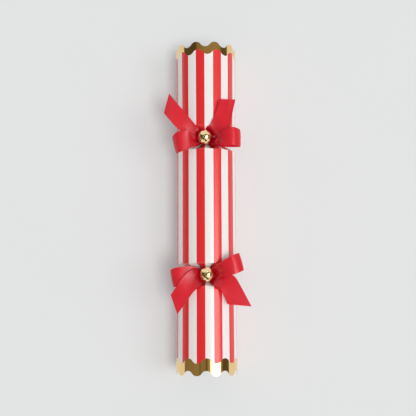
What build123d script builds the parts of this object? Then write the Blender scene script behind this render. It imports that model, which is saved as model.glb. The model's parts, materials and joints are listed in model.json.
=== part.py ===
"""Christmas cracker: a striped card tube choked at two places, tied with ribbon bows and bells.

Millimetres and degrees. The long axis runs along Y, +Z is up, and the cracker lies on z = 0 on
the flattened lap seam under its tubes. Angles around the tube go from straight up towards +X.
"""
import os
from math import cos, hypot, pi, radians, sin

from build123d import *

# Card tube and its lap seam
tube_radius = 27.6
card = 0.6
seam_flat = 0.35
paste_gap = 0.15
barrel_half_length = 52.2
choke_length = 20.8
end_length = 79.5
tear_gap = 0.1

# Stiffening tubes inside the card
liner_wall = 0.9
barrel_liner_inset = 2.5
end_liner_inner_inset = 13.5
end_liner_outer_inset = 6.5

# Printed repeats, scallops and the foil border
repeat_count = 11
first_lobe_deg = -18.6
scallop_count = 10
scallop_depth = 4.6
scallop_lobe_radius = 5.2
scallop_tip_trim = 0.05
foil_thickness = 0.15
foil_paste = 0.1

# Pleated choke: petals drawn in from the tube to the neck
neck_crest_radius = 8.0
neck_valley_radius = 5.0
neck_half_length = 5.2
shoulder_half_length = 8.6
shoulder_crest_drop = 2.0
shoulder_valley_drop = 6.6
petal_facets = 6
petal_fullness = 0.6

# Ribbon, its turn round the neck and its knot
ribbon_width = 16.0
ribbon_thickness = 0.5
ribbon_gather_width = 3.6
ribbon_gather_run = 20.0
neck_turn_width = 8.0
neck_turn_thickness = 0.9
tie_gap = 0.2
knot_radius = 3.6
knot_end_radius = 3.0
knot_height = 8.6
knot_gap = 0.15

# Side form of a bow loop: places out from the knot and heights above the knot's foot
loop_length = 31.0
loop_shoulder_run = 12.5
loop_foot_rise = 3.2
loop_return_rise = 5.8
loop_bend = 6.0
loop_end_bend = 0.48

# Side form of a ribbon tail: a steep climb out of the choke, then a gentle fall
tail_crest_run = 9.5
tail_fall_run = 55.0
tail_bend = 5.0

# Jingle bell, its eye and the cord that ties it to the knot
bell_radius = 6.5
bell_wall = 0.6
bell_slot_width = 1.0
bell_slot_reach_deg = 40.0
bell_slot_hole_radius = 0.7
bell_slot_turn_deg = -45.0
bell_slot_lean_deg = 26.0
eye_ring_radius = 1.4
eye_wire_radius = 0.4
eye_seat_gap = 0.02
cord_radius = 0.6
cord_half_span = 2.2
cord_rise = 2.3
cord_bend = 0.9
pellet_radius = 1.7
pellet_clearance = 0.15

# Snap: two card strips that lap in a paper sleeve
strip_width = 8.0
strip_thickness = 0.6
strip_overlap = 30.0
strip_glue_tab = 10.0
pad_length = 12.0
pad_width = 6.0
pad_thickness = 0.15
pad_gap = 0.2
sleeve_length = 40.0
sleeve_wall = 0.3
sleeve_clearance = 0.3

# Loose contents of the barrel
content_clearance = 0.3
hat_roll_radius = 8.0
hat_roll_core = 2.5
hat_length = 60.0
hat_centre_y = 14.0
slip_thickness = 0.25
slip_length = 60.0
slip_start_deg = 105.0
slip_stop_deg = 150.0
spinner_radius = 9.0
spinner_thickness = 5.0
spinner_spindle_radius = 1.6
spinner_spindle_length = 22.0
spinner_fit = 0.05
spinner_centre_y = -35.0

# The two ends. Bow places are millimetres from the knot in plan, X right and Y up.
# A loop has a heading and the heights of its lower and upper strand above the axis.
# A tail has its heading, its foot and crest heights, its fall, its centre points and its slanting cut.
ends = {
    "top": {
        "side": 1,
        "foil_width": 7.3,
        "foil_turn": 4.0,
        "knot_x": -1.0,
        "loops": {
            "left": {"heading": 194.4, "lower": 26.5, "upper": 34.5},
            "right": {"heading": -1.8, "lower": 26.5, "upper": 34.5},
        },
        "tails": {
            "left": {
                "heading": 138.0,
                "foot": 11.4,
                "crest": 30.0,
                "fall": 8.0,
                "centres": [(-2.3, 3.0), (-9.0, 8.0), (-21.8, 15.8), (-34.9, 30.9)],
                "slant": 9.8,
            },
            "right": {
                "heading": 62.0,
                "foot": 11.4,
                "crest": 30.0,
                "fall": 4.0,
                "centres": [(1.8, 3.3), (5.6, 6.6), (13.5, 15.5), (18.5, 25.0), (21.3, 34.0)],
                "slant": 3.5,
            },
        },
    },
    "bottom": {
        "side": -1,
        "foil_width": 11.0,
        "foil_turn": 0.0,
        "knot_x": 0.3,
        "loops": {
            "left": {"heading": 186.3, "lower": 25.8, "upper": 30.2},
            "right": {"heading": 20.2, "lower": 26.5, "upper": 34.5},
        },
        "tails": {
            "left": {
                "heading": 200.0,
                "foot": 17.4,
                "crest": 32.4,
                "fall": 3.5,
                "centres": [(-3.7, -0.6), (-8.0, -1.5), (-14.1, -7.8), (-21.0, -16.1), (-28.8, -27.3)],
                "slant": -11.0,
            },
            "right": {
                "heading": -50.0,
                "foot": 11.4,
                "crest": 30.0,
                "fall": 5.0,
                "centres": [(2.6, -2.7), (8.0, -5.5), (16.0, -8.5), (22.5, -13.8), (31.0, -27.5)],
                "slant": -11.8,
            },
        },
    },
}

# Sizes that follow from the ones above
axis_height = tube_radius - seam_flat
repeat_deg = 360 / repeat_count
end_start = barrel_half_length + choke_length
tip_y = end_start + end_length
choke_centre = barrel_half_length + choke_length / 2
liner_radius = tube_radius - card - paste_gap
bore_radius = liner_radius - liner_wall
neck_turn_radius = neck_crest_radius + tie_gap
knot_foot = neck_turn_radius + neck_turn_thickness + tie_gap
knot_top = knot_foot + knot_height
ribbon_start = knot_radius + knot_gap
bell_pivot = knot_top + cord_rise
bell_centre = bell_pivot + eye_ring_radius + bell_radius
strip_level = pad_thickness + pad_gap / 2
far = 4 * tube_radius


def across_axis(y):
    """Cross-section plane at a place along the axis."""
    return Plane(origin=(0, y, axis_height), x_dir=(1, 0, 0), z_dir=(0, 1, 0))


def polar(radius, angle):
    """Point in a cross-section plane."""
    return (radius * sin(radians(angle)), -radius * cos(radians(angle)))


def flat_disc(radius):
    """Disc with the seam's flat at its foot."""
    foot = radius - seam_flat
    return Circle(radius) - Pos(0, foot + radius) * Rectangle(2 * radius, 2 * radius)


def extrude_along(section, y_start, y_stop):
    """Solid with one section from one place along the axis to another."""
    low, high = sorted((y_start, y_stop))
    return extrude(across_axis(low) * section, amount=high - low)


def card_tube(outer_radius, wall, y_start, y_stop):
    """Card tube with an even wall, flattened along its seam."""
    return extrude_along(flat_disc(outer_radius) - flat_disc(outer_radius - wall), y_start, y_stop)


def liner_tube(y_start, y_stop):
    """Stiffening tube: flattened outside to follow the card, round inside."""
    return extrude_along(flat_disc(liner_radius) - Circle(bore_radius), y_start, y_stop)


def scallop_cutters(tip, side, turn):
    """Prisms that cut the valleys between the lobes of a scalloped edge."""
    half = tube_radius * sin(pi / scallop_count)
    both_radii = (half**2 + scallop_depth**2) / (2 * scallop_depth)
    share = scallop_lobe_radius / both_radii
    valley_centre = both_radii - scallop_lobe_radius - scallop_depth
    bend_x = half * (1 - share)
    bend_y = share * (valley_centre + scallop_lobe_radius) - scallop_lobe_radius
    left_tip = (-half, 0)
    right_tip = (half, 0)
    left_bend = (-bend_x, side * bend_y)
    right_bend = (bend_x, side * bend_y)
    edges = [
        TangentArc(left_tip, left_bend, tangent=(1, 0)),
        ThreePointArc(left_bend, (0, -side * scallop_depth), right_bend),
        TangentArc(right_tip, right_bend, tangent=(-1, 0)),
        Polyline(right_tip, (half, side * scallop_depth), (-half, side * scallop_depth), left_tip),
    ]
    valley = make_face(edges)
    cutters = []
    for k in range(scallop_count):
        angle = radians(first_lobe_deg + turn + (k + 0.5) * 360 / scallop_count)
        plane = Plane(
            origin=(0, tip, axis_height),
            x_dir=(cos(angle), 0, -sin(angle)),
            z_dir=(sin(angle), 0, cos(angle)),
        )
        cutters.append(extrude(plane * valley, amount=2 * tube_radius))
    return cutters


def scalloped_tube(outer_radius, wall, side, tip, turn=0.0):
    """Card tube of one end, from its crease to a scalloped edge with its lobes trimmed a hair flat."""
    blank = card_tube(outer_radius, wall, side * end_start, side * (tip - scallop_tip_trim))
    return blank - scallop_cutters(side * tip, side, turn)


def end_card(side, foil_width, foil_turn):
    """Card of one end, set back under the foil border so that the foil lies flush."""
    recess = foil_thickness + foil_paste
    under = scalloped_tube(tube_radius - recess, card - recess, side, tip_y)
    printed = scalloped_tube(tube_radius, recess, side, tip_y - foil_width, foil_turn)
    return under + printed


def foil_band(side, foil_width, foil_turn):
    """Foil border that follows the scallops on both of its edges."""
    whole = scalloped_tube(tube_radius, foil_thickness, side, tip_y)
    printed = scalloped_tube(tube_radius, foil_thickness, side, tip_y - foil_width, foil_turn)
    return whole - printed


def petal_section(y, crest, valley):
    """Section of the pleated card: one rounded petal for each printed repeat."""
    points = []
    for k in range(repeat_count * petal_facets):
        share = k / petal_facets
        swell = sin(pi * (share % 1)) ** petal_fullness
        points.append(polar(valley + (crest - valley) * swell, first_lobe_deg + share * repeat_deg))
    return across_axis(y) * make_face(Polyline(*points, close=True))


def petal_form(side, toward, inset):
    """Solid through one set of petals, from the middle of the neck outwards, taken inwards by an inset."""
    neck_crest = neck_crest_radius - inset
    neck_valley = neck_valley_radius - inset
    tube = tube_radius - inset
    stations = [
        (0, neck_crest, neck_valley),
        (neck_half_length + inset, neck_crest, neck_valley),
        (shoulder_half_length + inset, tube - shoulder_crest_drop, tube - shoulder_valley_drop),
        (choke_length / 2, tube, tube),
    ]
    middle = side * choke_centre
    sections = [petal_section(middle + toward * place, crest, valley) for place, crest, valley in stations]
    return loft(sections, ruled=True)


def petals(side, toward):
    """Pleated card from the middle of the neck towards the barrel or towards the end tube."""
    pleats = petal_form(side, toward, 0) - petal_form(side, toward, card)
    under = Pos(0, side * choke_centre, -far / 2) * Box(far, far, far)
    return pleats - under


def barrel_petals(side):
    """Petals at the barrel, torn off it along the tear line."""
    tear = side * (barrel_half_length + tear_gap / 2)
    return petals(side, -side) - Pos(0, tear, axis_height) * Box(far, tear_gap, far)


def neck_turn(side):
    """Turn of gathered ribbon round the neck."""
    ring = Circle(neck_turn_radius + neck_turn_thickness) - Circle(neck_turn_radius)
    half = neck_turn_width / 2
    return extrude_along(ring, side * choke_centre - half, side * choke_centre + half)


def knot():
    """Drum-shaped knot on top of the neck, at the bow's own origin."""
    middle = (knot_foot + knot_top) / 2
    outline = [
        Polyline((knot_end_radius, knot_top), (0, knot_top), (0, knot_foot), (knot_end_radius, knot_foot)),
        ThreePointArc((knot_end_radius, knot_foot), (knot_radius, middle), (knot_end_radius, knot_top)),
    ]
    return Pos(0, 0, axis_height) * revolve(Plane.XZ * make_face(outline), axis=Axis.Z)


def half_width(run):
    """Half of the ribbon's width at a distance from the knot."""
    gathered = ribbon_gather_width / 2
    share = min(max((run - ribbon_start) / (ribbon_gather_run - ribbon_start), 0), 1)
    return gathered + share * (ribbon_width / 2 - gathered)


def plan_outline(centres, slant):
    """Plan outline of a ribbon along its centre points, with a slanting cut at its end."""
    left = []
    right = []
    last = len(centres) - 1
    for i, centre in enumerate(centres):
        along = (Vector(centres[min(i + 1, last)]) - Vector(centres[max(i - 1, 0)])).normalized()
        across = Vector(-along.Y, along.X) * half_width(hypot(*centre))
        cut = along * (slant / 2) if i == last else Vector(0, 0)
        left.append(Vector(centre) + across - cut)
        right.append(Vector(centre) - across + cut)
    return make_face(Polyline(*left, *reversed(right), close=True))


def ribbon(side_points, bends, heading, outline):
    """Ribbon with a side form along a heading, trimmed to its plan outline, at the bow's own origin."""
    angle = radians(heading)
    plane = Plane(
        origin=(0, 0, axis_height),
        x_dir=(cos(angle), sin(angle), 0),
        z_dir=(sin(angle), -cos(angle), 0),
    )
    path = FilletPolyline(*side_points, radius=bends)
    sheet = extrude(plane * trace(path, ribbon_thickness), amount=far, both=True)
    return sheet & extrude(outline, amount=far)


def bow_loop(heading, lower, upper):
    """Bow loop: out along a lower strand, round the end and back along an upper strand."""
    end_bend = loop_end_bend * (upper - lower)
    points = [
        (ribbon_start, knot_foot + loop_foot_rise),
        (loop_shoulder_run, lower),
        (loop_length, lower),
        (loop_length, upper),
        (loop_shoulder_run, upper),
        (ribbon_start, knot_foot + loop_return_rise),
    ]
    bends = [loop_bend, end_bend, end_bend, loop_bend]
    angle = radians(heading)
    runs = (ribbon_start, ribbon_gather_run, loop_length + ribbon_thickness)
    outline = plan_outline([(run * cos(angle), run * sin(angle)) for run in runs], 0)
    return ribbon(points, bends, heading, outline)


def bow_tail(heading, foot, crest, fall, centres, slant):
    """Ribbon tail: up out of the choke at the knot, then out over the end tube."""
    points = [(ribbon_start, foot), (tail_crest_run, crest), (tail_fall_run, crest - fall)]
    return ribbon(points, [tail_bend], heading, plan_outline(centres, slant))


def bell_cord():
    """Short cord arch on the knot that runs through the bell's eye."""
    path = FilletPolyline(
        (-cord_half_span, 0, 0),
        (-cord_half_span, 0, cord_rise),
        (cord_half_span, 0, cord_rise),
        (cord_half_span, 0, 0),
        radius=cord_bend,
    )
    start = Plane(origin=(-cord_half_span, 0, 0), z_dir=(0, 0, 1))
    return Pos(0, 0, axis_height + knot_top) * sweep(start * Circle(cord_radius), path=path)


def bell_shell():
    """Hollow ball of the bell, at its own centre."""
    return Sphere(bell_radius) - Sphere(bell_radius - bell_wall)


def bell_cap():
    """Lower half of the bell, which carries the eye."""
    lower = Pos(0, 0, -bell_radius) * Box(4 * bell_radius, 4 * bell_radius, 2 * bell_radius)
    return bell_shell() & lower


def bell_cup():
    """Upper half of the bell, with two crossed slots that end in round holes, leaning off its top."""
    upper = Pos(0, 0, bell_radius) * Box(4 * bell_radius, 4 * bell_radius, 2 * bell_radius)
    half = bell_shell() & upper
    reach = bell_radius * sin(radians(bell_slot_reach_deg))
    lean = Rot(0, 0, bell_slot_turn_deg) * Rot(bell_slot_lean_deg, 0, 0)
    for turn in (0, 90):
        slot = Pos(0, 0, bell_radius) * Box(2 * reach, bell_slot_width, 2 * bell_radius)
        half -= lean * Rot(0, 0, turn) * slot
        for end in (-reach, reach):
            hole = Pos(end, 0, bell_radius) * Cylinder(bell_slot_hole_radius, 2 * bell_radius)
            half -= lean * Rot(0, 0, turn) * hole
    return half


def bell_eye():
    """Wire eye under the bell, cut where it is brazed to the cap."""
    ring = Pos(0, 0, -bell_radius - eye_ring_radius) * Rot(0, 90, 0) * Torus(eye_ring_radius, eye_wire_radius)
    return ring - Sphere(bell_radius + eye_seat_gap)


def snap_strip(side):
    """One strip of the snap, from the lap in the barrel to its tab past the neck."""
    inner = -side * strip_overlap / 2
    outer = side * (end_start + strip_glue_tab)
    level = axis_height + side * (strip_level + strip_thickness / 2)
    strip = Box(strip_width, abs(outer - inner), strip_thickness)
    return Pos(0, (inner + outer) / 2, level) * strip


def snap_pad(side):
    """Coated patch on a strip, facing the other strip's patch."""
    level = axis_height + side * (strip_level - pad_thickness / 2)
    return Pos(0, 0, level) * Box(pad_width, pad_length, pad_thickness)


def snap_sleeve():
    """Paper sleeve round the lapped strips."""
    width = strip_width + 2 * sleeve_clearance
    height = 2 * (strip_level + strip_thickness + sleeve_clearance)
    outside = Box(width + 2 * sleeve_wall, sleeve_length, height + 2 * sleeve_wall)
    return Pos(0, 0, axis_height) * (outside - Box(width, sleeve_length, height))


def lying_in_barrel(radius, section, length, centre_y):
    """Round piece that lies in the bottom of the barrel, along the axis."""
    drop = bore_radius - content_clearance - radius
    return extrude_along(Pos(0, drop) * section, centre_y - length / 2, centre_y + length / 2)


def paper_hat():
    """Tissue crown, rolled up."""
    section = Circle(hat_roll_radius) - Circle(hat_roll_core)
    return lying_in_barrel(hat_roll_radius, section, hat_length, hat_centre_y)


def motto_slip():
    """Printed slip that has sprung open against the side of the barrel."""
    outer = bore_radius - content_clearance
    inner = outer - slip_thickness
    middle = (slip_start_deg + slip_stop_deg) / 2
    section = make_face(
        [
            ThreePointArc(polar(outer, slip_start_deg), polar(outer, middle), polar(outer, slip_stop_deg)),
            Line(polar(outer, slip_stop_deg), polar(inner, slip_stop_deg)),
            ThreePointArc(polar(inner, slip_stop_deg), polar(inner, middle), polar(inner, slip_start_deg)),
            Line(polar(inner, slip_start_deg), polar(outer, slip_start_deg)),
        ]
    )
    return extrude_along(section, -slip_length / 2, slip_length / 2)


def spinner_disc():
    """Turned disc of a small spinning top."""
    section = Circle(spinner_radius) - Circle(spinner_spindle_radius + spinner_fit)
    return lying_in_barrel(spinner_radius, section, spinner_thickness, spinner_centre_y)


def spinner_spindle():
    """Spindle pushed through the spinning top's disc."""
    section = Circle(spinner_spindle_radius)
    return lying_in_barrel(spinner_radius, section, spinner_spindle_length, spinner_centre_y)


def barrel_parts():
    """Barrel, snap and loose contents."""
    liner_end = barrel_half_length - barrel_liner_inset
    return {
        "barrel_wrap": card_tube(tube_radius, card, -barrel_half_length, barrel_half_length),
        "barrel_liner": liner_tube(-liner_end, liner_end),
        "snap_strip_top": snap_strip(1),
        "snap_strip_bottom": snap_strip(-1),
        "snap_charge_pad": snap_pad(1),
        "snap_grit_pad": snap_pad(-1),
        "snap_sleeve": snap_sleeve(),
        "paper_hat": paper_hat(),
        "motto_slip": motto_slip(),
        "spinner_disc": spinner_disc(),
        "spinner_spindle": spinner_spindle(),
    }


def end_parts(name, side, foil_width, foil_turn, knot_x, loops, tails):
    """One end with its choke, bow and bell."""
    at_knot = Pos(knot_x, side * choke_centre, 0)
    at_bell = at_knot * Pos(0, 0, axis_height + bell_centre)
    pellet_drop = bell_radius - bell_wall - pellet_radius - pellet_clearance
    liner_start = side * (end_start + end_liner_inner_inset)
    liner_stop = side * (tip_y - end_liner_outer_inset)
    parts = {
        "barrel_petals": barrel_petals(side),
        "end_petals": petals(side, side),
        "end_wrap": end_card(side, foil_width, foil_turn),
        "foil_band": foil_band(side, foil_width, foil_turn),
        "end_liner": liner_tube(liner_start, liner_stop),
        "neck_ribbon": neck_turn(side),
        "knot": at_knot * knot(),
        "bell_cord": at_knot * bell_cord(),
        "bell_cap": at_bell * bell_cap(),
        "bell_cup": at_bell * bell_cup(),
        "bell_eye": at_bell * bell_eye(),
        "bell_pellet": at_bell * Pos(0, 0, -pellet_drop) * Sphere(pellet_radius),
    }
    for hand, loop in loops.items():
        parts[f"{hand}_loop"] = at_knot * bow_loop(**loop)
    for hand, tail in tails.items():
        parts[f"{hand}_tail"] = at_knot * bow_tail(**tail)
    return {f"{name}_{part}": shape for part, shape in parts.items()}


def main():
    """Writes each piece to its own file."""
    pieces = barrel_parts()
    for name, end in ends.items():
        pieces.update(end_parts(name, **end))
    os.makedirs("parts", exist_ok=True)
    for name, piece in pieces.items():
        export_step(piece, f"parts/{name}.step")


main()
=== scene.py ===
"""Christmas cracker of striped card on a pale table: printed card, foil, ribbon bows, bells and light.

Metres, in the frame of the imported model. The long axis runs along Y, and angles around the tube go
from straight up towards +X.
"""
import json
import math

import bmesh
import bpy
from mathutils import Matrix, Vector

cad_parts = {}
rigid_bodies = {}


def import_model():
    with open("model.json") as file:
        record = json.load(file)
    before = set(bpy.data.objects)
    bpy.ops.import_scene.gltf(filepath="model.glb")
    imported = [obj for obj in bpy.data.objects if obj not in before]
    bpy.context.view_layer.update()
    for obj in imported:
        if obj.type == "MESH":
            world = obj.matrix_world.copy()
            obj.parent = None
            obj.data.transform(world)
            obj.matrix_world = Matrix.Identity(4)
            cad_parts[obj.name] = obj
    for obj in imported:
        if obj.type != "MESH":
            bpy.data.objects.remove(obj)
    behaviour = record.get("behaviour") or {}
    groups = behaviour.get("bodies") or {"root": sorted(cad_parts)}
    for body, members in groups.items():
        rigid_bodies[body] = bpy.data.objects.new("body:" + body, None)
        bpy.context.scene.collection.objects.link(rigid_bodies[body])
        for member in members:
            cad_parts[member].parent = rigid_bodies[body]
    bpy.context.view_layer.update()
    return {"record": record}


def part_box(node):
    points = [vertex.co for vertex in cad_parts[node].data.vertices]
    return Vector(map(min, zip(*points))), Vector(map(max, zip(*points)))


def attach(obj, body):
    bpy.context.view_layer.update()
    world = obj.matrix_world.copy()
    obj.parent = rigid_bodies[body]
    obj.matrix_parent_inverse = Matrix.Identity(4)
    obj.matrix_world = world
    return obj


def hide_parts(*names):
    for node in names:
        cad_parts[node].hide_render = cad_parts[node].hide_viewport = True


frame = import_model()

mm = 0.001
scene = bpy.context.scene
scene.view_settings.view_transform = "Standard"


def node_box(node):
    """Low and high corner of a CAD node's box."""
    return [Vector(corner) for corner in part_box(node)]


# Sizes that come with the frame
barrel_high = node_box("barrel_wrap")[1]
tube_radius = barrel_high.x
axis_z = barrel_high.z - tube_radius
barrel_end = barrel_high.y
crease_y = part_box("top_end_wrap")[0][1]
tip_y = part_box("top_foil_band")[1][1]
choke_y = (barrel_end + crease_y) / 2
choke_half = (crease_y - barrel_end) / 2
bell_low, bell_high = node_box("top_bell_cup")
bell_radius = (bell_high.x - bell_low.x) / 2

# Where a sheet's thickness goes
inward = -1
both_ways = 0

# Printed repeats and the card
repeats = 11
repeat = math.tau / repeats
first_red = math.radians(-18.6)
card_wall = 0.5 * mm
tear_gap = 0.1 * mm
columns_per_repeat = 16
card_columns = repeats * columns_per_repeat
barrel_rows = 6
liner_wall = 0.9 * mm
liner_columns = 132
liner_rows = 4

# Pleated choke
neck_crest = 8.0 * mm
neck_valley = 5.0 * mm
neck_half = 2.0 * mm
crest_power = 1.25
valley_power = 0.8
petal_fullness = 0.55
wall_rows = 16
neck_rows = 4

# Scalloped edge and its foil
scallop_count = 10
scallop_depth = 4.6 * mm
lobe_radius = 5.2 * mm
flare_power = 0.8
foil_proud = 0.01 * mm
foil_columns = card_columns * 2
foil_rows = 8
tube_rows = 22

# Ribbon; crown, folds and troughs are in millimetres
ribbon_width = 16 * mm
ribbon_wall = 0.3 * mm
ribbon_columns = 20
rows_per_station = 8
gathers = 2
fold_height = 0.9
second_fold_share = 0.5
second_fold_start = 1.3
ribbon_crown = 0.3
loop_troughs = (0.0, 0.0, 0.0, 0.0, 0.6, 1.6, 0.4)
tail_troughs = (0.0, 1.4, 1.6, 1.0, 0.4, 0.0)

ends = {
    "top": {
        "side": 1,
        "foil_width": 7.3 * mm,
        "foil_turn": math.radians(4),
        "flare": 0.7 * mm,
        "knot_x": -1.0 * mm,
    },
    "bottom": {
        "side": -1,
        "foil_width": 11.0 * mm,
        "foil_turn": math.radians(0.7),
        "flare": 0.4 * mm,
        "knot_x": 0.3 * mm,
    },
}


class Term:
    """A socket of a finish. Arithmetic on it adds Math nodes."""

    def __init__(self, finish, socket):
        self.finish = finish
        self.socket = socket

    def __add__(self, other):
        return self.finish.math("ADD", self, other)

    def __radd__(self, other):
        return self.finish.math("ADD", other, self)

    def __sub__(self, other):
        return self.finish.math("SUBTRACT", self, other)

    def __rsub__(self, other):
        return self.finish.math("SUBTRACT", other, self)

    def __mul__(self, other):
        return self.finish.math("MULTIPLY", self, other)

    def __rmul__(self, other):
        return self.finish.math("MULTIPLY", other, self)

    def __truediv__(self, other):
        return self.finish.math("DIVIDE", self, other)

    def __rtruediv__(self, other):
        return self.finish.math("DIVIDE", other, self)

    def __pow__(self, other):
        return self.finish.math("POWER", self, other)

    def __abs__(self):
        return self.finish.math("ABSOLUTE", self)

    def sine(self):
        return self.finish.math("SINE", self)

    def fraction(self):
        return self.finish.math("FRACT", self)

    def step_up(self, low, high):
        """Zero below low, one above high, smooth between."""
        return self.finish.node(
            "ShaderNodeMapRange",
            {"interpolation_type": "SMOOTHSTEP"},
            {"Value": self, "From Min": low, "From Max": high},
        )


class Finish:
    """One procedural finish, made node by node."""

    def __init__(self, holder):
        self.holder = holder
        holder.use_nodes = True
        self.tree = holder.node_tree
        self.tree.nodes.clear()

    def node(self, kind, settings, inputs, output=0):
        made = self.tree.nodes.new(kind)
        for key, value in settings.items():
            if key == "stops":
                self.set_stops(made.color_ramp.elements, value)
            else:
                setattr(made, key, value)
        for key, value in inputs.items():
            if isinstance(value, Term):
                self.tree.links.new(value.socket, made.inputs[key])
            else:
                made.inputs[key].default_value = value
        return Term(self, made.outputs[output]) if made.outputs else None

    def set_stops(self, elements, stops):
        while len(elements) < len(stops):
            elements.new(1.0)
        for element, (position, tone) in zip(elements, stops):
            element.position = position
            element.color = tone

    def math(self, operation, *values):
        return self.node("ShaderNodeMath", {"operation": operation}, dict(enumerate(values)))

    def object_place(self):
        return self.node("ShaderNodeTexCoord", {}, {}, "Object")

    def surface_place(self):
        return self.node("ShaderNodeTexCoord", {}, {}, "UV")

    def split(self, vector):
        return [self.node("ShaderNodeSeparateXYZ", {}, {0: vector}, axis) for axis in "XYZ"]

    def noise(self, place, scale, detail=2.0, roughness=0.5):
        return self.node(
            "ShaderNodeTexNoise",
            {},
            {"Vector": place, "Scale": scale, "Detail": detail, "Roughness": roughness},
        )

    def stretch(self, place, scale):
        return self.node("ShaderNodeVectorMath", {"operation": "MULTIPLY"}, {0: place, 1: scale})

    def mix(self, share, first, second):
        settings = {"data_type": "RGBA", "clamp_factor": True}
        return self.node("ShaderNodeMix", settings, {0: share, 6: first, 7: second}, 2)

    def bump(self, height, strength, distance):
        return self.node("ShaderNodeBump", {}, {"Height": height, "Strength": strength, "Distance": distance})

    def surface(self, sockets):
        shader = self.node("ShaderNodeBsdfPrincipled", {}, sockets)
        self.node("ShaderNodeOutputMaterial", {}, {"Surface": shader})
        return self.holder


def new_finish(name):
    return Finish(bpy.data.materials.new(name))


def colour(red, green, blue):
    return (red, green, blue, 1.0)


def striped_card_finish():
    """Satin printed card: red and white lengthwise stripes, a trace of fibre and press mottle."""
    card = new_finish("striped_card_print")
    place = card.object_place()
    x, _, z = card.split(place)
    angle = card.math("ARCTAN2", x, z - axis_z)
    share = ((angle - first_red) / repeat).fraction()
    blur = 0.004
    red = share.step_up(0.0, blur) * (1 - share.step_up(0.5 - blur / 2, 0.5 + blur / 2))
    mottle = card.noise(place, scale=900.0, detail=3.0)
    fibre = card.noise(card.stretch(place, (1.0, 0.18, 1.0)), scale=5200.0)
    red_ink = card.mix(mottle, colour(0.80, 0.010, 0.018), colour(0.86, 0.018, 0.026))
    white_stock = card.mix(mottle, colour(0.915, 0.885, 0.855), colour(0.965, 0.935, 0.91))
    return card.surface(
        {
            "Base Color": card.mix(red, white_stock, red_ink),
            "Roughness": 0.34 + 0.08 * fibre,
            "IOR": 1.5,
            "Coat Weight": 0.75 + 0.1 * mottle,
            "Coat Roughness": 0.18,
            "Normal": card.bump(fibre, strength=0.05, distance=0.05 * mm),
        }
    )


def plain_card_finish():
    """Matt unprinted board with grey fibres."""
    board = new_finish("plain_board")
    place = board.object_place()
    fibre = board.noise(board.stretch(place, (1.0, 0.25, 1.0)), scale=3600.0, detail=4.0)
    fleck = board.noise(place, scale=1500.0, detail=1.0).step_up(0.66, 0.74)
    stock = board.mix(fibre, colour(0.66, 0.63, 0.57), colour(0.80, 0.78, 0.73))
    return board.surface(
        {
            "Base Color": board.mix(0.5 * fleck, stock, colour(0.42, 0.39, 0.34)),
            "Roughness": 0.78 + 0.14 * fibre,
            "Normal": board.bump(fibre, strength=0.2, distance=0.08 * mm),
        }
    )


def gold_foil_finish():
    """Mirror gold foil on card, with a faint pull of the card's fibre along the tube."""
    foil = new_finish("gold_foil_mirror")
    place = foil.object_place()
    pull = foil.noise(foil.stretch(place, (1.0, 0.08, 1.0)), scale=420.0)
    grain = foil.noise(place, scale=4200.0)
    return foil.surface(
        {
            "Base Color": foil.mix(pull, colour(0.98, 0.68, 0.29), colour(1.0, 0.75, 0.39)),
            "Metallic": 1.0,
            "Roughness": 0.06 + 0.07 * grain,
            "Normal": foil.bump(pull, strength=0.12, distance=0.12 * mm),
        }
    )


def bell_gold_finish():
    """Plated brass, polished, with fine spinning marks round the bell and a little dulling."""
    plate = new_finish("bell_gold_plate")
    place = plate.object_place()
    marks = plate.noise(plate.stretch(place, (1.0, 1.0, 6.0)), scale=1800.0)
    dull = plate.noise(place, scale=260.0, detail=3.0).step_up(0.45, 0.8)
    return plate.surface(
        {
            "Base Color": plate.mix(dull, colour(1.0, 0.85, 0.50), colour(0.92, 0.69, 0.34)),
            "Metallic": 1.0,
            "Roughness": 0.07 + 0.05 * marks + 0.10 * dull,
            "Normal": plate.bump(marks, strength=0.04, distance=0.02 * mm),
        }
    )


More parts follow.
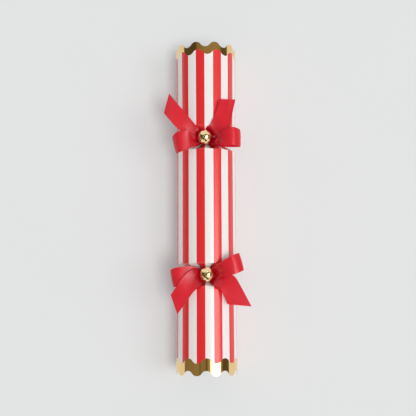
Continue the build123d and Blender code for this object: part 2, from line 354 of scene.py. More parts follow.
def ribbon_finish():
    """Woven ribbon: cross ribs, warp threads and firmer selvedges; painted shade darkens it by the knot and a
    painted sheen makes it pinker further out.
    """
    cloth = new_finish("red_ribbon_weave")
    weft_pitch = 0.42 * mm
    warp_pitch = 0.30 * mm
    selvedge_fade = (0.5 * mm, 0.9 * mm)
    # Span over which the painted shade by the knot fades out
    knot_shade_fade = (4 * mm, 24 * mm)
    deep = colour(0.56, 0.001, 0.014)
    bright = colour(0.78, 0.004, 0.026)
    worn = colour(0.84, 0.010, 0.032)
    edged = colour(0.54, 0.003, 0.012)
    # Painted sheen: paler, pinker colour for the ribbon away from the knot
    painted_sheen_tone = colour(0.80, 0.036, 0.050)
    # Painted shade: dark colour laid on the ribbon by the knot
    knot_shade_tone = colour(0.40, 0.0, 0.010)
    weave = cloth.surface_place()
    across, along, _ = cloth.split(weave)
    weft = abs((along * (math.pi / weft_pitch)).sine())
    warp = abs((across * (math.pi / warp_pitch)).sine())
    thread = 0.6 * weft + 0.4 * warp
    from_edge = ribbon_width / 2 - abs(across - ribbon_width / 2)
    selvedge = 1 - from_edge.step_up(*selvedge_fade)
    slub = cloth.noise(cloth.stretch(weave, (40.0, 900.0, 1.0)), scale=1.0)
    place = cloth.object_place()
    wear = cloth.noise(place, scale=160.0)
    x, y, _ = cloth.split(place)
    from_neck = abs(y) - choke_y
    from_knot = (x * x + from_neck * from_neck) ** 0.5
    # Painted shade mask: one at the knot, falling to zero further out; its inverse carries the painted sheen
    painted_knot_shade = 1 - from_knot.step_up(*knot_shade_fade)
    tone = cloth.mix(0.35 * thread + 0.65 * slub, deep, bright)
    tone = cloth.mix(0.3 * wear, tone, worn)
    tone = cloth.mix(0.35 * selvedge, tone, edged)
    # Painted sheen: pinker colour away from the knot
    tone = cloth.mix(0.3 * (1 - painted_knot_shade), tone, painted_sheen_tone)
    # Painted shade: darker colour by the knot
    tone = cloth.mix(0.9 * painted_knot_shade, tone, knot_shade_tone)
    return cloth.surface(
        {
            "Base Color": tone,
            "Roughness": 0.25 + 0.08 * slub,
            "Specular IOR Level": 0.6,
            "Normal": cloth.bump(thread + 0.6 * selvedge, strength=0.25, distance=0.08 * mm),
        }
    )


def cord_finish():
    """Twisted red thread."""
    thread = new_finish("red_thread_twist")
    ply_pitch = 0.5 * mm
    place = thread.object_place()
    x, y, z = thread.split(place)
    twist = abs(((x + y + z) * (math.pi / ply_pitch)).sine())
    fuzz = thread.noise(place, scale=5200.0)
    tone = thread.mix(0.6 * twist + 0.4 * fuzz, colour(0.36, 0.004, 0.014), colour(0.68, 0.02, 0.04))
    return thread.surface(
        {
            "Base Color": tone,
            "Roughness": 0.62 + 0.2 * fuzz,
            "Normal": thread.bump(twist, strength=0.5, distance=0.1 * mm),
        }
    )


def steel_finish():
    """Tumbled steel of the pellet."""
    steel = new_finish("tumbled_steel")
    pits = steel.noise(steel.object_place(), scale=2600.0, detail=3.0)
    return steel.surface(
        {
            "Base Color": steel.mix(pits, colour(0.42, 0.42, 0.44), colour(0.62, 0.62, 0.64)),
            "Metallic": 1.0,
            "Roughness": 0.28 + 0.2 * pits,
        }
    )


def coating_finish(name, dark, light, grain_scale):
    """Dry coating on the snap's strips."""
    coat = new_finish(name)
    grain = coat.noise(coat.object_place(), scale=grain_scale, detail=4.0, roughness=0.7)
    return coat.surface(
        {
            "Base Color": coat.mix(grain.step_up(0.35, 0.65), dark, light),
            "Roughness": 0.8 + 0.15 * grain,
            "Normal": coat.bump(grain, strength=0.6, distance=0.1 * mm),
        }
    )


def paper_finish(name, low, high, fibre_scale):
    """Thin uncoated paper."""
    sheet = new_finish(name)
    place = sheet.object_place()
    fibre = sheet.noise(place, scale=fibre_scale, detail=4.0, roughness=0.65)
    cloud = sheet.noise(place, scale=220.0)
    return sheet.surface(
        {
            "Base Color": sheet.mix(0.5 * fibre + 0.5 * cloud, low, high),
            "Roughness": 0.74 + 0.2 * fibre,
            "Normal": sheet.bump(fibre, strength=0.15, distance=0.05 * mm),
        }
    )


def wood_finish():
    """Turned beech with growth lines along the spindle and short flecks."""
    wood = new_finish("turned_beech")
    ring_pitch = 1.4 * mm
    ring_lean = 0.2
    ring_drift = 0.004
    place = wood.object_place()
    x, _, z = wood.split(place)
    drift = wood.noise(place, scale=120.0)
    rings = abs(((z + ring_lean * x + ring_drift * drift) * (math.pi / ring_pitch)).sine())
    fleck = wood.noise(wood.stretch(place, (6.0, 1.0, 6.0)), scale=900.0).step_up(0.6, 0.7)
    tone = wood.mix(rings, colour(0.46, 0.27, 0.12), colour(0.62, 0.41, 0.21))
    return wood.surface(
        {
            "Base Color": wood.mix(0.5 * fleck, tone, colour(0.34, 0.18, 0.08)),
            "Roughness": 0.42 + 0.15 * rings,
            "Coat Weight": 0.15 + 0.1 * drift,
            "Normal": wood.bump(rings, strength=0.1, distance=0.05 * mm),
        }
    )


finishes = {
    "striped_card": striped_card_finish(),
    "plain_card": plain_card_finish(),
    "gold_foil": gold_foil_finish(),
    "gold_bell": bell_gold_finish(),
    "red_ribbon": ribbon_finish(),
    "red_cord": cord_finish(),
    "steel_pellet": steel_finish(),
    "snap_charge": coating_finish(
        "snap_charge_coat",
        dark=colour(0.06, 0.055, 0.05),
        light=colour(0.16, 0.14, 0.12),
        grain_scale=2600.0,
    ),
    "snap_grit": coating_finish(
        "snap_grit_coat",
        dark=colour(0.16, 0.12, 0.08),
        light=colour(0.44, 0.36, 0.27),
        grain_scale=3400.0,
    ),
    "plain_paper": paper_finish(
        "plain_slip_paper",
        low=colour(0.80, 0.78, 0.72),
        high=colour(0.90, 0.89, 0.85),
        fibre_scale=2400.0,
    ),
    "tissue": paper_finish(
        "red_tissue",
        low=colour(0.40, 0.010, 0.024),
        high=colour(0.60, 0.030, 0.05),
        fibre_scale=1800.0,
    ),
    "turned_wood": wood_finish(),
}


def finish_cad_nodes():
    """Gives every CAD node the finish of its slot; it shows on those that keep their own shape."""
    for part in frame["record"]["subparts"]:
        node = bpy.data.objects[part["node"]]
        node.data.materials.clear()
        node.data.materials.append(finishes[part["material_slot"]])


def add_piece(name, form, body, slot, replaced, inner_slots=()):
    """Links a finished form as a piece that rides on a body and stands for its nodes."""
    mesh = bpy.data.meshes.new(name)
    form.to_mesh(mesh)
    form.free()
    for finish_slot in (slot, *inner_slots):
        mesh.materials.append(finishes[finish_slot])
    for polygon in mesh.polygons:
        polygon.use_smooth = True
    piece = bpy.data.objects.new(name, mesh)
    scene.collection.objects.link(piece)
    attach(piece, body)
    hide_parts(*replaced)
    return piece


def add_wall(piece, thickness, side, lined=False):
    """Gives a sheet its thickness; a lined sheet shows its second finish inside and on its rim."""
    wall = piece.modifiers.new("wall", "SOLIDIFY")
    wall.thickness = thickness
    wall.offset = side
    wall.use_even_offset = True
    if lined:
        wall.material_offset = 1
        wall.material_offset_rim = 1


def sheet_form(columns, rows, place, closed, uv_size=(1.0, 1.0), wound=False):
    """Grid whose points go where place(u, v) says, from 0 to 1; a wound ribbon's width is along v."""
    form = bmesh.new()
    bmesh.ops.create_grid(form, x_segments=columns, y_segments=rows, size=0.5)
    layer = form.loops.layers.uv.verify()
    for face in form.faces:
        for loop in face.loops:
            across, along = (share + 0.5 for share in loop.vert.co.xy)
            if wound:
                across, along = along, across
            loop[layer].uv = (across * uv_size[0], along * uv_size[1])
    for vert in form.verts:
        vert.co = place(vert.co.x + 0.5, vert.co.y + 0.5)
    if closed:
        bmesh.ops.remove_doubles(form, verts=form.verts, dist=0.0001 * mm)
    for edge in form.edges:
        edge.smooth = not edge.is_boundary
    return form


def on_tube(radius, angle, y):
    """Point on the card tube, pressed flat along its seam."""
    return Vector((radius * math.sin(angle), y, max(axis_z + radius * math.cos(angle), 0.0)))


def scallop_drop(angle):
    """How far the scalloped edge falls short of the lobes' tips at an angle."""
    pitch = math.tau / scallop_count
    half = tube_radius * math.sin(pitch / 2)
    radii_sum = (half**2 + scallop_depth**2) / (2 * scallop_depth)
    valley_radius = radii_sum - lobe_radius
    from_lobe = (angle - first_red + pitch / 2) % pitch - pitch / 2
    from_valley = pitch / 2 - abs(from_lobe)
    x = tube_radius * math.sin(from_valley)
    if x < half * (1 - lobe_radius / radii_sum):
        return math.sqrt(valley_radius**2 - x**2) - valley_radius + scallop_depth
    return lobe_radius - math.sqrt(lobe_radius**2 - (half - x) ** 2)


def petal_radius(angle, from_neck):
    """Radius of the pleated card at an angle and a distance from the middle of the neck."""
    depth = (choke_half - abs(from_neck)) / (choke_half - neck_half)
    depth = min(max(depth, 0.0), 1.0)
    crest = neck_crest + (tube_radius - neck_crest) * (1 - depth**crest_power) ** (1 / crest_power)
    valley = neck_valley + (tube_radius - neck_valley) * (1 - depth**valley_power) ** (1 / valley_power)
    share = ((angle - first_red) / repeat) % 1
    return valley + (crest - valley) * math.sin(math.pi * share) ** petal_fullness


def choke_places():
    """Places along one choke, from the barrel to the end, evenly spaced on each wall and on the neck."""
    places = [-choke_half + (choke_half - neck_half) * row / wall_rows for row in range(wall_rows + 1)]
    middle = [(row / neck_rows * 2 - 1) * neck_half for row in range(1, neck_rows)]
    return places + middle + [-place for place in reversed(places)]


def barrel_card():
    """Printed card of the barrel."""

    def place(u, v):
        return on_tube(tube_radius, first_red + u * math.tau, (2 * v - 1) * barrel_end)

    form = sheet_form(card_columns, barrel_rows, place, closed=True)
    piece = add_piece("barrel_card", form, "barrel", "striped_card", ["barrel_wrap"], ["plain_card"])
    add_wall(piece, card_wall, inward, lined=True)


def flared_radius(end, y):
    """Radius of an end tube, which opens a little towards its scalloped edge."""
    return tube_radius + ends[end]["flare"] * ((y - crease_y) / (tip_y - crease_y)) ** flare_power


def foil_edges(end, angle):
    """Places of the foil's inner and outer edge at an angle."""
    inner = tip_y - ends[end]["foil_width"] - scallop_drop(angle - ends[end]["foil_turn"])
    outer = tip_y - scallop_drop(angle)
    return inner, outer


def end_card(end):
    """Printed card of one end: petals, neck, petals and tube in one sheet, up to the foil."""
    side = ends[end]["side"]
    choke = choke_places()
    rows = len(choke) - 1 + tube_rows

    def place(u, v):
        angle = first_red + u * math.tau
        row = round(v * rows)
        if row < len(choke):
            from_neck = choke[row]
            if row == 0:
                from_neck += tear_gap
            return on_tube(petal_radius(angle, from_neck), angle, side * (choke_y + from_neck))
        share = (row - len(choke) + 1) / tube_rows
        inner, _ = foil_edges(end, angle)
        y = crease_y + (inner - crease_y) * share
        return on_tube(flared_radius(end, y), angle, side * y)

    form = sheet_form(card_columns, rows, place, closed=True)
    if side < 0:
        bmesh.ops.reverse_faces(form, faces=form.faces)
    nodes = [f"{end}_barrel_petals", f"{end}_end_petals", f"{end}_end_wrap"]
    piece = add_piece(f"{end}_end_card", form, f"{end}_end", "striped_card", nodes, ["plain_card"])
    add_wall(piece, card_wall, inward, lined=True)


def foil_border(end):
    """Foil border on the card's scalloped edge."""
    side = ends[end]["side"]

    def place(u, v):
        angle = first_red + u * math.tau
        inner, outer = foil_edges(end, angle)
        y = inner + (outer - inner) * v
        return on_tube(flared_radius(end, y) + foil_proud, angle, side * y)

    form = sheet_form(foil_columns, foil_rows, place, closed=True)
    if side < 0:
        bmesh.ops.reverse_faces(form, faces=form.faces)
    nodes = [f"{end}_foil_band"]
    piece = add_piece(f"{end}_foil_border", form, f"{end}_end", "gold_foil", nodes, ["plain_card"])
    add_wall(piece, card_wall, inward, lined=True)


def liner(node, body):
    """Stiffening tube of plain board inside the card."""
    low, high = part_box(node)
    radius = high[0]

    def place(u, v):
        angle = u * math.tau
        y = low[1] + (high[1] - low[1]) * v
        return Vector((radius * math.sin(angle), y, max(axis_z + radius * math.cos(angle), low[2])))

    form = sheet_form(liner_columns, liner_rows, place, closed=True)
    piece = add_piece(f"{node}_board", form, body, "plain_card", [node])
    add_wall(piece, liner_wall, inward)


def along_curve(points, t):
    """Point on a smooth curve through the stations, with t counted in stations."""
    last = len(points) - 1
    i = min(int(t), last - 1)
    f = t - i
    before = points[max(i - 1, 0)]
    start = points[i]
    stop = points[i + 1]
    after = points[min(i + 2, last)]
    return 0.5 * (
        2 * start
        + (stop - before) * f
        + (2 * before - 5 * start + 4 * stop - after) * f**2
        + (3 * start - before - 3 * stop + after) * f**3
    )


# Ribbon stations in millimetres from the middle of the neck: X right, Y up, Z above the axis.
# Each holds the two edges of the ribbon. Loops go out low and come back high; tails go out.
bow_stations = {
    "top_left_loop": [
        ((-2.6, 0.6, 16.5), (-2.2, -2.6, 16.5)),
        ((-8.0, -0.5, 20.5), (-6.5, -6.0, 20.5)),
        ((-15.5, 0.5, 24.6), (-13.0, -9.0, 24.6)),
        ((-23.5, 1.5, 24.3), (-21.0, -12.5, 24.3)),
        ((-29.6, -0.1, 26.8), (-25.9, -15.3, 26.8)),
        ((-25.0, 3.8, 33.0), (-21.8, -14.0, 32.6)),
        ((-16.5, 5.2, 33.2), (-14.5, -11.0, 31.8)),
        ((-11.8, 3.2, 30.0), (-9.3, -9.2, 29.3)),
        ((-7.8, 0.8, 26.3), (-5.5, -7.6, 26.3)),
        ((-3.2, 0.9, 19.5), (-2.6, -3.0, 19.5)),
    ],
    "top_right_loop": [
        ((2.6, 0.8, 16.5), (2.4, -2.6, 16.5)),
        ((7.5, 0.5, 20.5), (7.0, -5.5, 20.5)),
        ((14.5, 3.0, 24.6), (13.5, -8.2, 24.6)),
        ((23.5, 6.3, 24.0), (23.0, -8.7, 24.0)),
        ((32.4, 6.2, 27.4), (32.4, -9.2, 27.4)),
        ((25.6, 8.0, 33.8), (25.8, -8.7, 33.8)),
        ((17.0, 5.6, 32.2), (16.5, -7.9, 32.2)),
        ((12.2, 0.8, 29.2), (11.5, -7.2, 29.2)),
        ((8.4, -2.2, 26.2), (7.6, -6.2, 26.0)),
        ((3.2, -0.4, 19.5), (2.6, -3.0, 19.5)),
    ],
    "top_left_tail": [
        ((-0.6, 2.8, 14.5), (-3.0, 0.9, 14.5)),
        ((-2.2, 6.2, 23.0), (-6.6, 0.0, 22.6)),
        ((-4.6, 8.8, 27.2), (-11.0, 0.6, 26.8)),
        ((-8.7, 11.7, 27.6), (-17.5, 2.2, 28.8)),
        ((-15.0, 19.3, 28.2), (-25.5, 8.2, 30.4)),
        ((-25.8, 32.2, 28.2), (-33.5, 17.4, 29.8)),
        ((-32.5, 41.2, 26.6), (-37.2, 22.6, 27.0)),
    ],
    "top_right_tail": [
        ((0.6, 2.8, 14.5), (2.9, 0.9, 14.5)),
        ((0.8, 7.0, 22.4), (6.4, 3.2, 21.0)),
        ((1.8, 9.4, 27.3), (10.9, 1.0, 24.7)),
        ((4.6, 11.4, 28.8), (16.4, 3.0, 28.0)),
        ((7.5, 17.4, 28.6), (22.6, 7.6, 28.8)),
        ((10.9, 25.8, 29.0), (25.4, 21.9, 29.4)),
        ((14.1, 34.8, 29.8), (28.1, 34.3, 30.4)),
    ],
    "bottom_left_loop": [
        ((-2.6, 1.6, 16.0), (-2.4, -1.8, 16.0)),
        ((-8.0, 3.6, 20.5), (-7.0, -3.6, 20.3)),
        ((-15.5, 6.3, 24.2), (-14.0, -7.0, 24.2)),
        ((-25.0, 5.6, 23.5), (-22.5, -9.6, 23.5)),
        ((-32.6, 4.2, 25.8), (-29.8, -11.0, 25.8)),
        ((-27.6, 6.0, 30.6), (-24.8, -10.6, 30.4)),
        ((-17.0, 7.3, 29.6), (-15.5, -8.4, 29.6)),
        ((-11.3, 7.0, 27.6), (-10.0, -5.2, 27.4)),
        ((-6.6, 5.6, 24.6), (-6.0, -2.6, 24.4)),
        ((-3.0, 1.8, 18.4), (-2.6, -1.6, 18.4)),
    ],
    "bottom_left_tail": [
        ((-2.6, 1.2, 20.0), (-1.6, -2.6, 19.5)),
        ((-6.6, 4.2, 26.4), (-3.8, -6.4, 24.6)),
        ((-11.9, 4.3, 30.4), (-5.6, -10.2, 29.2)),
        ((-17.0, 1.8, 32.3), (-8.4, -12.4, 31.0)),
        ((-22.5, -4.3, 32.7), (-12.4, -16.4, 31.8)),
        ((-27.0, -10.6, 31.9), (-17.0, -22.6, 31.4)),
        ((-32.1, -18.2, 29.4), (-26.2, -35.4, 28.8)),
    ],
    "bottom_right_loop": [
        ((2.4, 2.6, 16.5), (2.8, -1.4, 16.5)),
        ((6.0, 5.2, 21.0), (7.4, -1.4, 20.5)),
        ((11.5, 8.6, 25.8), (14.0, -0.6, 24.4)),
        ((19.0, 14.0, 26.3), (22.5, 0.6, 25.2)),
        ((29.0, 19.0, 28.6), (33.2, 3.8, 28.2)),
        ((22.6, 16.6, 34.2), (26.0, 0.2, 33.6)),
        ((14.2, 11.8, 32.4), (17.0, -2.0, 31.8)),
        ((9.4, 9.8, 29.6), (11.5, -2.6, 29.0)),
        ((5.6, 8.7, 26.6), (8.7, -2.2, 25.7)),
        ((2.6, 4.0, 19.6), (3.6, -1.4, 19.6)),
    ],
    "bottom_right_tail": [
        ((3.0, -1.4, 14.5), (0.8, -2.9, 14.5)),
        ((6.8, -0.8, 22.6), (2.4, -6.2, 23.0)),
        ((12.0, 0.0, 26.2), (4.6, -8.8, 27.6)),
        ((18.5, 0.4, 28.0), (8.4, -11.0, 28.7)),
        ((25.0, -2.0, 28.6), (12.4, -13.6, 28.8)),
        ((31.0, -11.8, 28.4), (15.2, -19.4, 28.4)),
        ((39.9, -28.7, 27.4), (18.4, -26.6, 27.6)),
    ],
}


def ribbon_piece(node, end, troughs):
    """Ribbon between two edge curves, crowned a little; folds and a trough fade away from the knot."""
    stations = bow_stations[node]
    knot = Vector((ends[end]["knot_x"], ends[end]["side"] * choke_y, axis_z))
    first_edge = [knot + Vector(first) * mm for first, _ in stations]
    second_edge = [knot + Vector(second) * mm for _, second in stations]
    last = len(stations) - 1
    rows = last * rows_per_station
    probe = 0.01

    def flat_place(u, v):
        t = min(max(v, 0.0), 1.0) * last
        return along_curve(first_edge, t).lerp(along_curve(second_edge, t), u)

    def place(u, v):
        here = flat_place(u, v)
        across = flat_place(u + probe, v) - flat_place(u - probe, v)
        along = flat_place(u, v + probe) - flat_place(u, v - probe)
        normal = across.cross(along).normalized()
        width = (flat_place(1, v) - flat_place(0, v)).length
        slack = max(1 - width / ribbon_width, 0.0)
        fold = math.sin(gathers * math.tau * (u - 0.5)) * slack
        second_fold = math.sin((2 * gathers + 1) * math.pi * u + second_fold_start) * slack**2
        fold += second_fold_share * second_fold
        sag = along_curve(troughs, min(max(v, 0.0), 1.0) * (len(troughs) - 1))
        crown = (ribbon_crown - sag) * (1 - (2 * u - 1) ** 2)
        upward = 1 if normal.z > 0 else -1
        return here + normal * (upward * crown + fold_height * fold) * mm

    middle = [flat_place(0.5, row / rows) for row in range(rows + 1)]
    length = sum((after - before).length for before, after in zip(middle, middle[1:]))
    form = sheet_form(ribbon_columns, rows, place, closed=False, uv_size=(ribbon_width, length))
    piece = add_piece(f"{node}_ribbon", form, f"{end}_end", "red_ribbon", [node])
    add_wall(piece, ribbon_wall, both_ways)


def bow(end):
    """Loops and tails of one bow."""
    for hand in ("left", "right"):
        ribbon_piece(f"{end}_{hand}_loop", end, loop_troughs)
        ribbon_piece(f"{end}_{hand}_tail", end, tail_troughs)


def wander(angle, waves):
    """Sum of waves round a turn, each with a height, a count and a start."""
    return sum(height * math.sin(count * angle + start) for height, count, start in waves)


# Turn of ribbon round the neck, and the knot
turn_half = 3.0 * mm
turn_inset = 0.5 * mm
turn_folds = 4
turn_fold_height = 0.55 * mm
turn_waves = ((0.4, 3, 0), (0.3, 5, 1))
turn_columns = 96
turn_rows = 48
knot_folds = 5
knot_fold_height = 0.5 * mm
knot_belly = 0.16
knot_waves = ((0.7, 2, 0), (0.4, 5, 2))
knot_columns = 80
knot_rows = 60


def neck_turn(end):
    """Gathered turn of ribbon round the neck."""
    low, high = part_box(f"{end}_neck_ribbon")
    radius = (high[0] - low[0]) / 2 - turn_inset
    petal_slope = first_red + repeat / 4

    def place(u, v):
        angle = u * math.tau
        from_neck = (2 * v - 1) * turn_half
        under = petal_radius(petal_slope, from_neck) - neck_crest
        gather = math.cos(turn_folds * math.tau * v + wander(angle, turn_waves))
        here = radius + (under + turn_fold_height * gather)
        y = ends[end]["side"] * choke_y + from_neck
        return Vector((here * math.sin(angle), y, axis_z + here * math.cos(angle)))

    length = math.tau * radius
    uv_size = (ribbon_width, length)
    form = sheet_form(turn_columns, turn_rows, place, closed=True, uv_size=uv_size, wound=True)
    piece = add_piece(f"{end}_neck_turn", form, f"{end}_end", "red_ribbon", [f"{end}_neck_ribbon"])
    add_wall(piece, ribbon_wall, both_ways)


def knot_wrap(end):
    """Knot: the ribbon's middle drawn round the bow, its gathers running round with it."""
    low, high = node_box(f"{end}_knot")
    centre = (low + high) / 2
    radius = (high.x - low.x) / 2 - knot_fold_height

    def place(u, v):
        angle = u * math.tau
        belly = 1 - knot_belly * (2 * v - 1) ** 2
        gather = math.cos(knot_folds * math.tau * v + wander(angle, knot_waves))
        here = radius * belly + knot_fold_height * gather
        z = low.z + (high.z - low.z) * v
        return Vector((centre.x + here * math.cos(angle), centre.y + here * math.sin(angle), z))

    length = math.tau * radius
    uv_size = (ribbon_width, length)
    form = sheet_form(knot_columns, knot_rows, place, closed=True, uv_size=uv_size, wound=True)
    piece = add_piece(f"{end}_knot_wrap", form, f"{end}_end", "red_ribbon", [f"{end}_knot"])
    add_wall(piece, ribbon_wall, inward)


# Bell: slots in the half that shows
slot_widths = (1.5 * mm, 0.6 * mm)
slot_reach = bell_radius * math.sin(math.radians(40))
slot_hole = 0.7 * mm
slot_turn = math.radians(-45)
slot_tilt = math.radians(26)
bell_wall = 0.6 * mm
bell_columns = 144
bell_rows = 96


def slot_distance(x, y):
    """Distance in plan to the outline of the crossed slots, negative inside them."""
    found = []
    for turn, width in zip((slot_turn, slot_turn + math.pi / 2), slot_widths):
        along = abs(x * math.cos(turn) + y * math.sin(turn))
        across = abs(y * math.cos(turn) - x * math.sin(turn))
        found.append(max(along - slot_reach, across - width / 2))
        found.append(math.hypot(along - slot_reach, across) - slot_hole)
    return min(found)


def cut_slots(form):
    """Takes the slots out of the upper side of a ball at the origin and draws their rims to the outline."""
    upper = [face for face in form.faces if face.calc_center_median().z > 0]
    inside = [face for face in upper if slot_distance(*face.calc_center_median().xy) < 0]
    bmesh.ops.delete(form, geom=inside, context="FACES")
    probe = 0.01 * mm
    least_slope = 0.25
    passes = 3
    for vert in form.verts:
        x, y = vert.co.xy
        if vert.is_boundary and vert.co.z > probe:
            for _ in range(passes):
                here = slot_distance(x, y)
                slope_x = (slot_distance(x + probe, y) - slot_distance(x - probe, y)) / (2 * probe)
                slope_y = (slot_distance(x, y + probe) - slot_distance(x, y - probe)) / (2 * probe)
                steep = max(slope_x**2 + slope_y**2, least_slope)
                x -= here * slope_x / steep
                y -= here * slope_y / steep
            vert.co = (x, y, math.sqrt(max(bell_radius**2 - x**2 - y**2, 0.0)))


def bell_half(end, node, upper):
    """One half of the bell's ball; the upper one has the crossed slots."""
    low, high = node_box(f"{end}_bell_cup")
    centre = Vector(((low.x + high.x) / 2, (low.y + high.y) / 2, low.z))
    form = bmesh.new()
    bmesh.ops.create_uvsphere(form, u_segments=bell_columns, v_segments=bell_rows, radius=bell_radius)
    if upper:
        cut_slots(form)
    lean = Matrix.Rotation(slot_tilt, 3, Vector((math.cos(slot_turn), math.sin(slot_turn), 0)))
    bmesh.ops.rotate(form, verts=form.verts, cent=(0, 0, 0), matrix=lean)
    bmesh.ops.bisect_plane(
        form,
        geom=form.verts[:] + form.edges[:] + form.faces[:],
        dist=0.001 * mm,
        plane_co=(0, 0, 0),
        plane_no=(0, 0, 1),
        clear_inner=upper,
        clear_outer=not upper,
    )
    bmesh.ops.translate(form, verts=form.verts, vec=centre)
    piece = add_piece(f"{end}_{node}_plate", form, f"{end}_bell", "gold_bell", [f"{end}_{node}"])
    add_wall(piece, bell_wall, inward)


# Contents of the barrel
hat_core = 2.7 * mm
hat_clearance = 0.2 * mm
hat_turns = 9
hat_ripple = 0.12 * mm
hat_ripples_round = 5
hat_ripples_along = 4
columns_per_hat_turn = 48
hat_columns = hat_turns * columns_per_hat_turn
hat_rows = 12
tissue_wall = 0.12 * mm
slip_start = math.radians(105)
slip_stop = math.radians(150)
slip_clearance = 0.12 * mm
slip_ripple = 0.06 * mm
slip_ripples_across = 3
slip_ripples_along = 9
slip_columns = 24
slip_rows = 40
slip_wall = 0.1 * mm
spindle_bore = 1.65 * mm
turning_steps = 64
turned_round = 0.25 * mm


def rolled_hat():
    """Tissue crown, folded in half and rolled up loosely."""
    low, high = node_box("paper_hat")
    centre = (low + high) / 2
    outer = (high.x - low.x) / 2 - hat_clearance

    def place(u, v):
        angle = u * hat_turns * math.tau
        ripple = math.sin(hat_ripples_round * angle + hat_ripples_along * v)
        radius = hat_core + (outer - hat_core) * u + hat_ripple * ripple
        y = low.y + (high.y - low.y) * v
        return Vector((centre.x + radius * math.cos(angle), y, centre.z + radius * math.sin(angle)))

    length = hat_turns * math.tau * (hat_core + outer) / 2
    form = sheet_form(hat_columns, hat_rows, place, closed=False, uv_size=(length, high.y - low.y))
    piece = add_piece("paper_hat_roll", form, "hat", "tissue", ["paper_hat"])
    add_wall(piece, tissue_wall, both_ways)


def curled_slip():
    """Motto slip of thin paper, sprung open against the side of the barrel."""
    low, high = node_box("motto_slip")
    radius = high.x / math.sin(slip_start) - slip_clearance

    def place(u, v):
        angle = slip_start + (slip_stop - slip_start) * u
        ripple = math.sin(slip_ripples_along * v + slip_ripples_across * u)
        here = radius - slip_ripple * (1 + ripple)
        y = low.y + (high.y - low.y) * v
        return Vector((here * math.sin(angle), y, axis_z + here * math.cos(angle)))

    width = radius * (slip_stop - slip_start)
    form = sheet_form(slip_columns, slip_rows, place, closed=False, uv_size=(width, high.y - low.y))
    piece = add_piece("motto_slip_paper", form, "motto", "plain_paper", ["motto_slip"])
    add_wall(piece, slip_wall, both_ways)


def turned(name, node, centre, profile, closed):
    """Piece turned about a line along Y from its half profile of radius and place."""
    form = bmesh.new()
    verts = [form.verts.new(centre + Vector((radius, place, 0))) for radius, place in profile]
    edges = [form.edges.new(pair) for pair in zip(verts, verts[1:])]
    if closed:
        edges.append(form.edges.new((verts[-1], verts[0])))
    bmesh.ops.spin(
        form,
        geom=verts + edges,
        cent=centre,
        axis=(0, 1, 0),
        angle=math.tau,
        steps=turning_steps,
        use_merge=True,
    )
    bmesh.ops.remove_doubles(form, verts=form.verts, dist=0.001 * mm)
    bmesh.ops.recalc_face_normals(form, faces=form.faces)
    piece = add_piece(name, form, "spinner", "turned_wood", [node])
    round_off = piece.modifiers.new("round_off", "BEVEL")
    round_off.width = turned_round
    round_off.segments = 2
    round_off.limit_method = "ANGLE"


def spinning_top():
    """Turned disc with rounded rims and grooves, and its spindle with a pointed foot."""
    low, high = node_box("spinner_disc")
    centre = (low + high) / 2
    half = (high.y - low.y) / 2
    rim = (high.x - low.x) / 2
    disc_profile = [
        (spindle_bore, -half),
        (0.45 * rim, -half),
        (0.50 * rim, -half + 0.4 * mm),
        (0.56 * rim, -half),
        (0.90 * rim, -half + 0.2 * mm),
        (0.98 * rim, -0.5 * half),
        (rim, 0),
        (0.98 * rim, 0.5 * half),
        (0.90 * rim, half - 0.2 * mm),
        (0.56 * rim, half),
        (0.50 * rim, half - 0.4 * mm),
        (0.45 * rim, half),
        (spindle_bore, half),
    ]
    turned("spinning_top_disc", "spinner_disc", centre, disc_profile, closed=True)
    low, high = node_box("spinner_spindle")
    reach = (high.y - low.y) / 2
    thick = (high.x - low.x) / 2
    spindle_profile = [
        (0, -reach),
        (0.5 * thick, -reach + 0.8 * mm),
        (thick, -reach + 2.4 * mm),
        (thick, half + 0.2 * mm),
        (0.8 * thick, half + 2.0 * mm),
        (0.72 * thick, reach - 2.5 * mm),
        (thick, reach - 1.2 * mm),
        (0.8 * thick, reach - 0.3 * mm),
        (0, reach),
    ]
    turned("spinning_top_spindle", "spinner_spindle", centre, spindle_profile, closed=False)


# Tie of the bell; strand sizes are shares of the tie's radius
twist_pitch = 1.6 * mm
strand_offset = 0.45
strand_radius = 0.55
strand_sides = 10
arch_shoulder = 0.6


def spline_points(points, name):
    """Points along a smooth open spline with the given control points."""
    route = bpy.data.curves.new(name, "CURVE")
    route.dimensions = "3D"
    spline = route.splines.new("NURBS")
    spline.points.add(len(points) - 1)
    for spot, point in zip(spline.points, points):
        spot.co = (*point, 1.0)
    spline.order_u = 3
    spline.use_endpoint_u = True
    spline.resolution_u = 12
    holder = bpy.data.objects.new(name, route)
    line = bpy.data.meshes.new_from_object(holder)
    found = [vert.co.copy() for vert in line.vertices]
    bpy.data.meshes.remove(line)
    bpy.data.objects.remove(holder)
    bpy.data.curves.remove(route)
    return found


def heading(points, i):
    """Way a line of points runs at one of them, from its neighbours."""
    return points[min(i + 1, len(points) - 1)] - points[max(i - 1, 0)]


def strand(form, centres, radius):
    """Adds one round thread along a line of points to a form."""
    rings = []
    for i, centre in enumerate(centres):
        turn = heading(centres, i).to_track_quat("Z", "Y").to_matrix().to_4x4()
        made = bmesh.ops.create_circle(
            form,
            cap_ends=i in (0, len(centres) - 1),
            segments=strand_sides,
            radius=radius,
            matrix=Matrix.Translation(centre) @ turn,
        )
        rings.append({edge for vert in made["verts"] for edge in vert.link_edges})
    for before, after in zip(rings, rings[1:]):
        bmesh.ops.bridge_loops(form, edges=list(before | after))


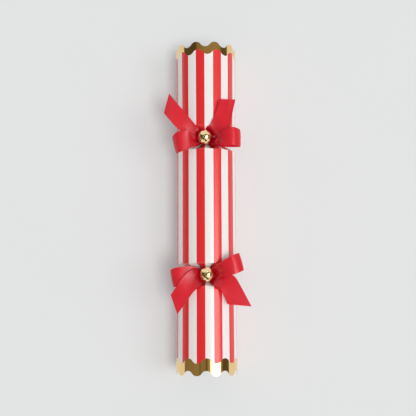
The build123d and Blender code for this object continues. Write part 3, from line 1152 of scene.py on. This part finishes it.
def bell_tie(end):
    """Thread of two twisted strands, from the knot through the bell's eye and back into the knot."""
    low, high = node_box(f"{end}_bell_cord")
    centre = (low + high) / 2
    thick = (high.y - low.y) / 2
    reach = (high.x - low.x) / 2 - thick
    top = high.z - thick
    foot = low.z
    shoulder = foot + arch_shoulder * (top - foot)
    arch = [(-reach, foot), (-reach, shoulder), (-arch_shoulder * reach, top)]
    arch += [(-x, z) for x, z in reversed(arch)]
    route = spline_points([(centre.x + x, centre.y, z) for x, z in arch], f"{end}_bell_tie_route")
    outward = Vector((0, 1, 0))
    form = bmesh.new()
    for phase in (0.0, math.pi):
        centres = []
        run = 0.0
        for i, point in enumerate(route):
            sideways = heading(route, i).normalized().cross(outward)
            run += (point - route[max(i - 1, 0)]).length
            turn = phase + math.tau * run / twist_pitch
            lean = outward * math.cos(turn) + sideways * math.sin(turn)
            centres.append(point + lean * thick * strand_offset)
        strand(form, centres, thick * strand_radius)
    bmesh.ops.recalc_face_normals(form, faces=form.faces)
    add_piece(f"{end}_bell_tie", form, f"{end}_end", "red_cord", [f"{end}_bell_cord"])


# Table and room; the ceilings' stops are places from left to right, with a level each
table_reach = 4.0
below_seam = -0.02 * mm
plain_share = 0.2
plain_tone = colour(0.783, 0.783, 0.783)
room_level = 0.46
room_slant = 0.08
dim_green = 0.79
dim_blue = 0.42
wall_tone = colour(0.80, 0.78, 0.74)
window_tone = colour(1.0, 1.0, 1.0)
window_level = 2.4
window_left = (math.radians(11), math.radians(17))
window_right = (math.radians(46), math.radians(52))
window_near = (-0.50, -0.40)
window_far = (0.10, 0.20)
wall_edge = (0.36, 0.55)
ceiling_change = (0.10, 0.18)
near_ceiling = (
    (0.00, 0.20),
    (0.33, 0.26),
    (0.36, 0.13),
    (0.39, 0.24),
    (0.47, 0.22),
    (0.50, 0.08),
    (0.54, 0.34),
    (0.80, 0.40),
    (0.85, 0.08),
    (1.00, 0.10),
)
far_ceiling = (
    (0.00, 0.09),
    (0.29, 0.07),
    (0.32, 0.20),
    (0.50, 0.26),
    (0.80, 0.27),
    (0.87, 0.09),
    (1.00, 0.12),
)


def table():
    """Pale table top that the cracker lies on."""
    top = new_finish("pale_table")
    cloud = top.noise(top.object_place(), scale=9.0)
    lit = top.node(
        "ShaderNodeBsdfPrincipled",
        {},
        {
            "Base Color": top.mix(cloud, colour(0.80, 0.815, 0.815), colour(0.82, 0.835, 0.835)),
            "Roughness": 0.55 + 0.1 * cloud,
            "Specular IOR Level": 0.2,
        },
    )
    plain = top.node("ShaderNodeEmission", {}, {"Color": plain_tone})
    seen = top.node("ShaderNodeLightPath", {}, {}, "Is Camera Ray")
    mirrored = top.node("ShaderNodeLightPath", {}, {}, "Is Glossy Ray")
    surface = top.node("ShaderNodeMixShader", {}, {0: plain_share * (seen + mirrored), 1: lit, 2: plain})
    top.node("ShaderNodeOutputMaterial", {}, {"Surface": surface})
    form = bmesh.new()
    place = Matrix.Translation((0, 0, below_seam))
    bmesh.ops.create_grid(form, x_segments=1, y_segments=1, size=table_reach, matrix=place)
    mesh = bpy.data.meshes.new("table_top")
    form.to_mesh(mesh)
    form.free()
    mesh.materials.append(top.holder)
    floor = bpy.data.objects.new("table_top", mesh)
    scene.collection.objects.link(floor)


def sun_lamp(name, towards, spread, strength):
    """Soft lamp far off in a direction, seen as a disc of a given spread in degrees."""
    lamp = bpy.data.lights.new(name, "SUN")
    lamp.angle = math.radians(spread)
    lamp.energy = strength
    holder = bpy.data.objects.new(name, lamp)
    holder.rotation_euler = Vector(towards).to_track_quat("Z", "Y").to_euler()
    scene.collection.objects.link(holder)
    return holder


def warm(level):
    """Tone of the dim part of the room."""
    return colour(level, level * dim_green, level * dim_blue)


def room():
    """Even light, a little stronger from the right; gloss and metal mirror a ceiling, a window and walls."""
    air = Finish(bpy.data.worlds.new("room"))
    scene.world = air.holder
    x, y, z = air.split(air.node("ShaderNodeTexCoord", {}, {}, "Generated"))
    turn = air.math("ARCTAN2", x, z)
    share = turn / math.pi + 0.5
    near, far = (
        air.node("ShaderNodeValToRGB", {"stops": [(at, warm(level)) for at, level in levels]}, {0: share})
        for levels in (near_ceiling, far_ceiling)
    )
    ceiling = air.mix(y.step_up(*ceiling_change), near, far)
    across = turn.step_up(*window_left) * (1 - turn.step_up(*window_right))
    window = across * y.step_up(*window_near) * (1 - y.step_up(*window_far))
    walled = air.mix(abs(y).step_up(*wall_edge), ceiling, wall_tone)
    tone = air.mix(window, walled, window_tone)
    level = 1 + (window_level - 1) * window
    mirrored = air.node("ShaderNodeBackground", {}, {"Color": tone, "Strength": level})
    even = air.node("ShaderNodeBackground", {}, {"Strength": room_level + room_slant * x})
    plain = air.node("ShaderNodeBackground", {}, {"Color": plain_tone})
    glossy_ray = air.node("ShaderNodeLightPath", {}, {}, "Is Glossy Ray")
    camera_ray = air.node("ShaderNodeLightPath", {}, {}, "Is Camera Ray")
    lighting = air.node("ShaderNodeMixShader", {}, {0: glossy_ray, 1: even, 2: mirrored})
    surface = air.node("ShaderNodeMixShader", {}, {0: camera_ray, 1: lighting, 2: plain})
    air.node("ShaderNodeOutputWorld", {}, {"Surface": surface})


def camera():
    """Camera almost straight above, leaning a little towards the near end."""
    tilt = math.radians(7.2)
    roll = math.radians(-0.245)
    distance = 0.868
    aim = Vector((1.25 * mm, 0.85 * mm, axis_z))
    lens = bpy.data.cameras.new("camera")
    lens.lens = 80.5
    lens.sensor_width = 36.0
    holder = bpy.data.objects.new("camera", lens)
    holder.rotation_euler = (tilt, 0.0, roll)
    holder.location = aim + Vector((0, -math.sin(tilt), math.cos(tilt))) * distance
    scene.collection.objects.link(holder)
    scene.camera = holder


finish_cad_nodes()
barrel_card()
liner("barrel_liner", "barrel")
rolled_hat()
curled_slip()
spinning_top()
for end in ends:
    end_card(end)
    foil_border(end)
    liner(f"{end}_end_liner", f"{end}_end")
    neck_turn(end)
    knot_wrap(end)
    bow(end)
    bell_tie(end)
    bell_half(end, "bell_cap", upper=False)
    bell_half(end, "bell_cup", upper=True)
table()
room()
key_lamp = sun_lamp("key_lamp", towards=(0.20, -0.268, 1.0), spread=22.0, strength=1.48)
key_lamp.visible_glossy = False
sun_lamp("side_lamp", towards=(0.8, -0.12, 1.0), spread=28.0, strength=0.52)
camera()

bpy.context.view_layer.update()
